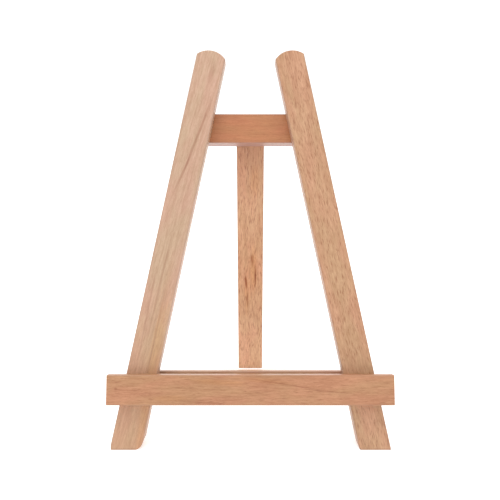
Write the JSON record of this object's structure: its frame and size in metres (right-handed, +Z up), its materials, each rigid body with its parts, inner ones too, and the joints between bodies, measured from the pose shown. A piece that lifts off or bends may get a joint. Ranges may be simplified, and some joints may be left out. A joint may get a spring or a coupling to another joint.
{
  "type": "folding tabletop display easel",
  "caption": "Small folding beech display easel: splayed front legs with crossbar, lower rail and picture ledge, and a hinged rear leg that folds flat.",
  "frame": {"origin": "on the floor, at the centre of the standing easel's bounding box", "axes": "+Z up, the front and its picture ledge face -Y, +X to the viewer's right; stored standing open"},
  "size_m": [0.2206, 0.1558, 0.3004],
  "materials": {
    "beech_pale": "sanded and thinly oiled beech, pale",
    "beech_warm": "sanded and thinly oiled beech, warm",
    "beech_red": "sanded and thinly oiled beech, reddish",
    "beech_pink": "sanded and thinly oiled beech, pinkish",
    "brass": "brass-plated sheet, satin",
    "brass_screw": "brass screw, satin",
    "zinc_screw": "zinc-plated steel screw"
  },
  "bodies": {
    "frame": {"left_leg": "beech_pale", "right_leg": "beech_warm", "crossbar": "beech_red", "lower_rail": "beech_pink", "ledge": "beech_pink", "hinge_leaf_frame": "brass", "hinge_pin": "brass", "crossbar_screw_left_low": "zinc_screw", "crossbar_screw_left_high": "zinc_screw", "crossbar_screw_right_low": "zinc_screw", "crossbar_screw_right_high": "zinc_screw", "rail_screw_left_low": "zinc_screw", "rail_screw_left_high": "zinc_screw", "rail_screw_right_low": "zinc_screw", "rail_screw_right_high": "zinc_screw", "frame_leaf_screw_left": "brass_screw", "frame_leaf_screw_right": "brass_screw"},
    "rear_leg": {"rear_leg": "beech_warm", "hinge_leaf_leg": "brass", "leg_leaf_screw_left": "brass_screw", "leg_leaf_screw_right": "brass_screw"}
  },
  "joints": [
    {"name": "rear_leg_fold", "type": "hinge", "parent": "frame", "child": "rear_leg", "pos_m": [0, 0.03204, 0.2241], "axis": [-1, 0, 0], "range_deg": [0, 28]}
  ]
}
